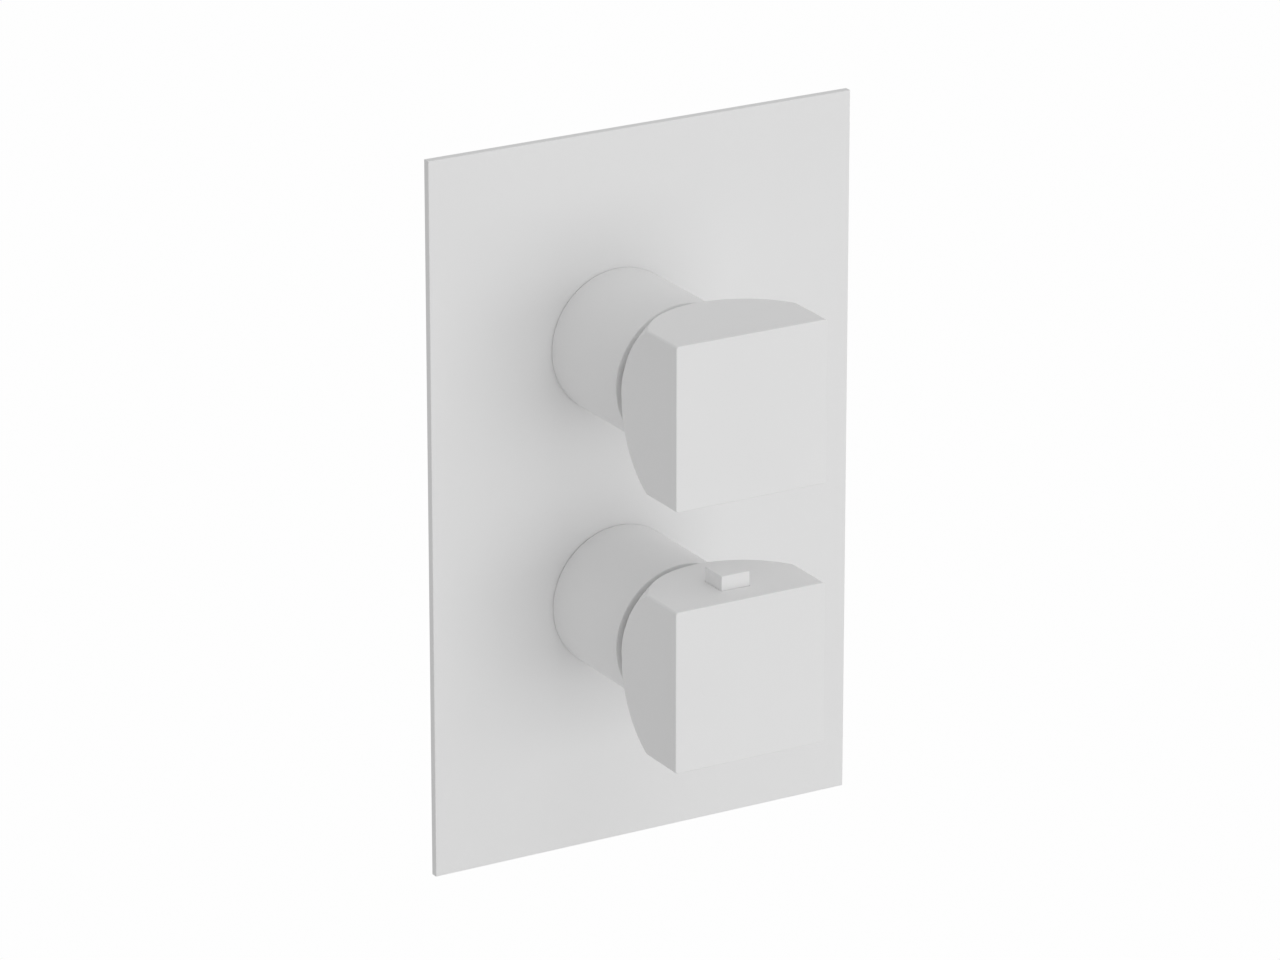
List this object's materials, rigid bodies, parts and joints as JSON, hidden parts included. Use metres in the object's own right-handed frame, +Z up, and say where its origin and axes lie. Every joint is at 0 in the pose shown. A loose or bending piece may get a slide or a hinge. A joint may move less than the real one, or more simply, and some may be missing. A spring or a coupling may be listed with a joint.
{
  "type": "thermostatic valve trim",
  "caption": "Wall trim for a concealed thermostatic shower valve: flat cover plate, round collars, square dome-backed handles for flow and temperature, safety push button.",
  "frame": {"origin": "centre of the cover plate's back face, on the wall", "axes": "+Y into the wall, +X to the right seen from the front, +Z up"},
  "size_m": [0.14, 0.0785, 0.22],
  "materials": {
    "white_paint": "matt white powder coat on brass and steel",
    "white_plastic": "matt white moulded plastic",
    "seal_rubber": "grey silicone rubber",
    "gasket_rubber": "black moulded rubber",
    "bearing_plastic": "natural acetal, turned",
    "hub_plastic": "black glass-filled nylon",
    "brass": "turned brass",
    "stainless_steel": "plain stainless steel",
    "spring_steel": "bright spring steel"
  },
  "bodies": {
    "trim_base": {"cover_plate": "white_paint", "plate_gasket": "gasket_rubber", "flow_collar": "white_paint", "flow_collar_washer": "seal_rubber", "flow_guide_bush": "bearing_plastic", "flow_slip_washer": "bearing_plastic", "temperature_collar": "white_paint", "temperature_collar_washer": "seal_rubber", "temperature_guide_bush": "bearing_plastic", "temperature_slip_washer": "bearing_plastic"},
    "flow_knob": {"flow_handle": "white_paint", "flow_hub": "hub_plastic", "flow_retaining_ring": "spring_steel", "flow_spindle_adaptor": "brass", "flow_adaptor_screw": "stainless_steel", "flow_grub_screw": "stainless_steel", "flow_screw_plug": "white_plastic"},
    "temperature_knob": {"temperature_handle": "white_paint", "temperature_hub": "hub_plastic", "temperature_retaining_ring": "spring_steel", "temperature_spindle_adaptor": "brass", "temperature_adaptor_screw": "stainless_steel", "temperature_grub_screw": "stainless_steel", "temperature_screw_plug": "white_plastic", "button_spring": "spring_steel"},
    "push_button": {"stop_button": "white_paint", "button_clip": "spring_steel"}
  },
  "joints": [
    {"name": "flow_turn", "type": "hinge", "parent": "trim_base", "child": "flow_knob", "pos_m": [-0.0084, -0.0424, 0.0462], "axis": [0, -1, 0], "range_deg": [0, 90]},
    {"name": "temperature_turn", "type": "hinge", "parent": "trim_base", "child": "temperature_knob", "pos_m": [-0.0084, -0.0424, -0.0331], "axis": [0, -1, 0], "range_deg": [-140, 50]},
    {"name": "button_press", "type": "slide", "parent": "temperature_knob", "child": "push_button", "axis": [0, 0, -1], "range_m": [0, 0.003], "stiffness_N_per_m": 600, "springref_m": -0.005, "deforming": ["button_spring"]}
  ]
}
